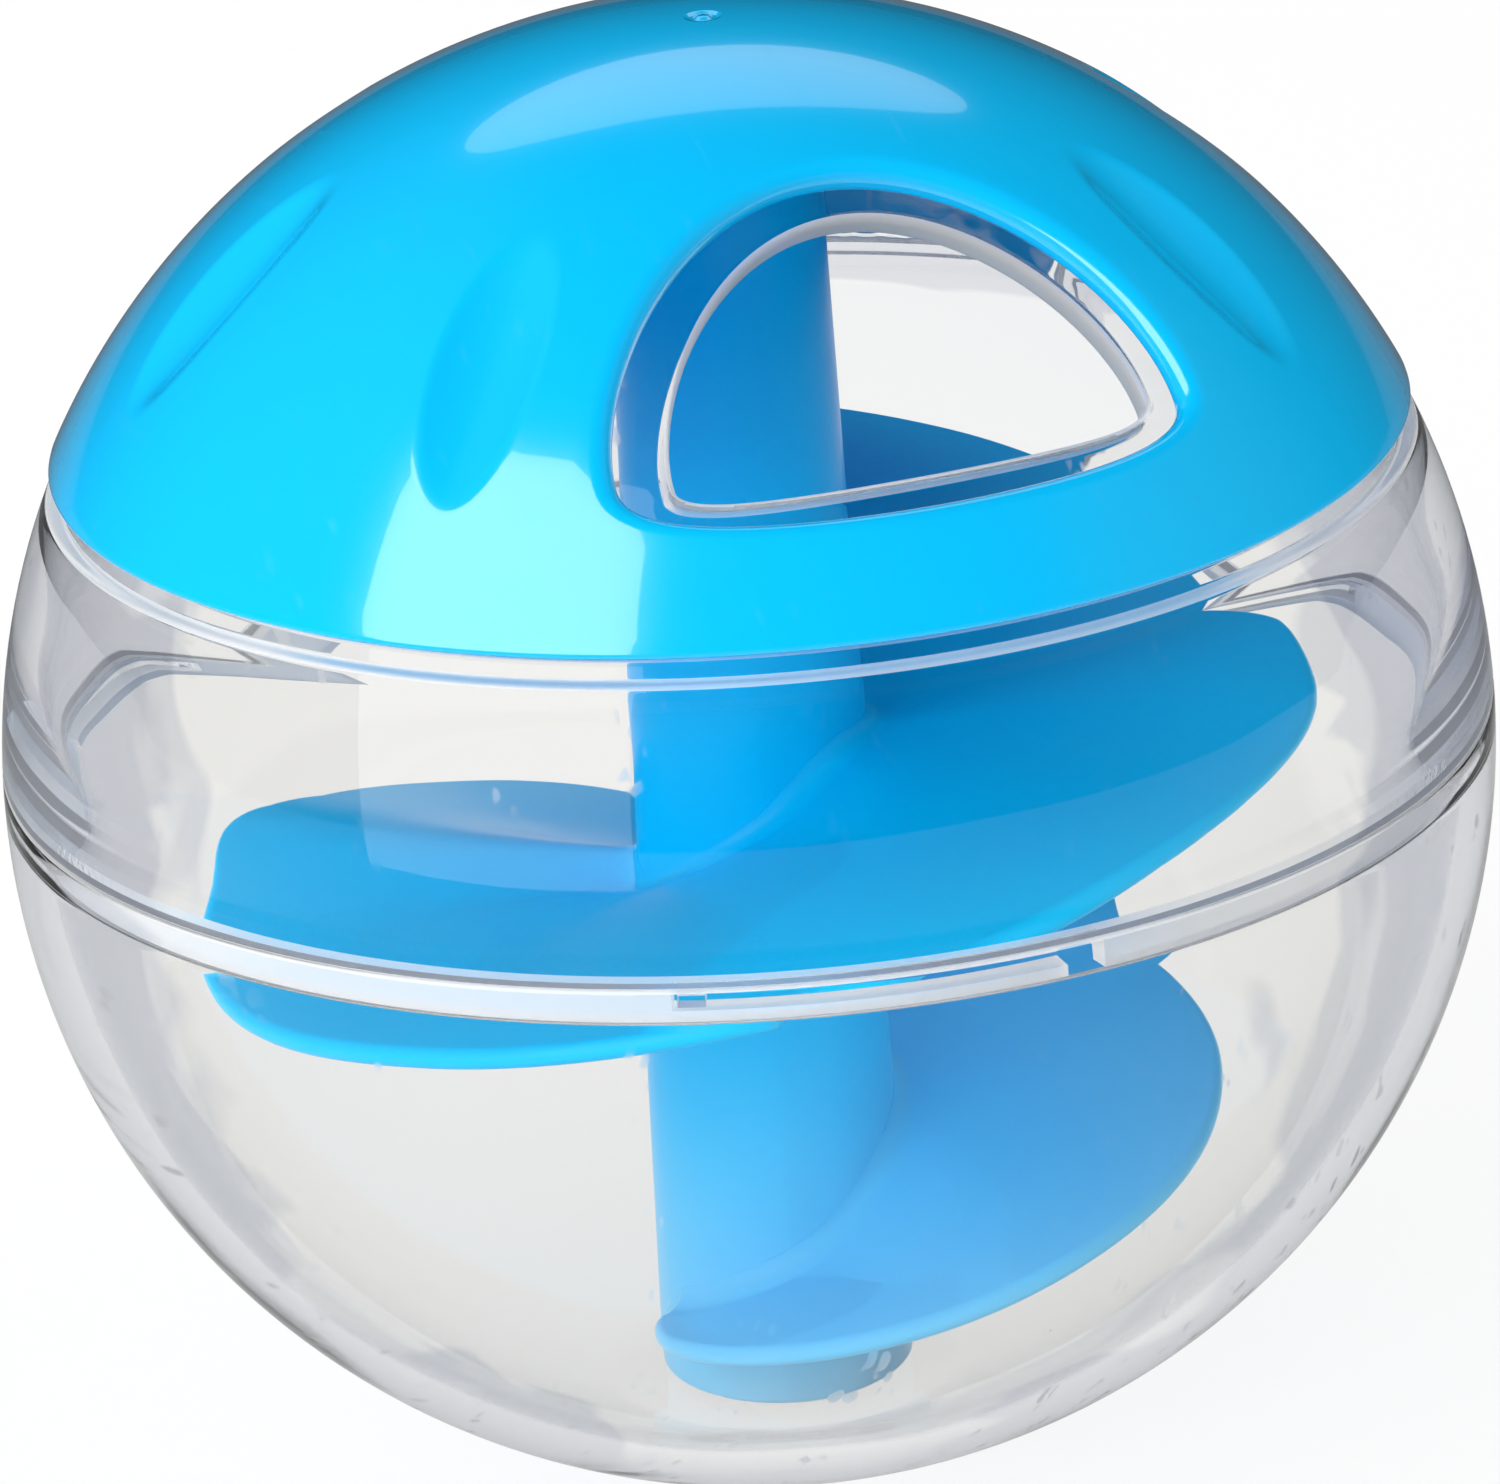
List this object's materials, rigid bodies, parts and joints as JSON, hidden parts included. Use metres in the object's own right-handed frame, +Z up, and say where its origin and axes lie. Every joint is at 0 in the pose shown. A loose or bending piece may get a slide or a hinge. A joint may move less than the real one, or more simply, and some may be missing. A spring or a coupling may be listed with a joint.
{
  "type": "cat treat ball",
  "caption": "Clear ball that twists apart at its waist, with a blue turning cap that opens a treat hole over a blue spiral ramp inside, for rolling dry treats out.",
  "frame": {"origin": "middle of the small standing flat under the ball", "axes": "+Z up the ball's axis through the middle of the cap, -Y towards the treat opening, +X to the right of the opening seen from in front"},
  "size_m": [0.08, 0.08, 0.0792],
  "materials": {
    "clear_plastic": "clear, polished, slightly cool at the edges",
    "maze_blue": "glossy with a fine moulded texture",
    "cap_blue": "high gloss, bright cyan blue"
  },
  "bodies": {
    "lower_half": {"lower_shell": "clear_plastic", "spiral_maze": "maze_blue"},
    "upper_half": {"upper_shell": "clear_plastic"},
    "cap": {"grip_cap": "cap_blue"}
  },
  "joints": [
    {"name": "twist_lock", "type": "hinge", "parent": "lower_half", "child": "upper_half", "pos_m": [0, 0, 0.04], "axis": [0, 0, 1], "range_deg": [-30, 0]},
    {"name": "cap_turn", "type": "hinge", "parent": "upper_half", "child": "cap", "pos_m": [0, 0, 0.06], "axis": [0, 0, 1], "continuous": true}
  ]
}
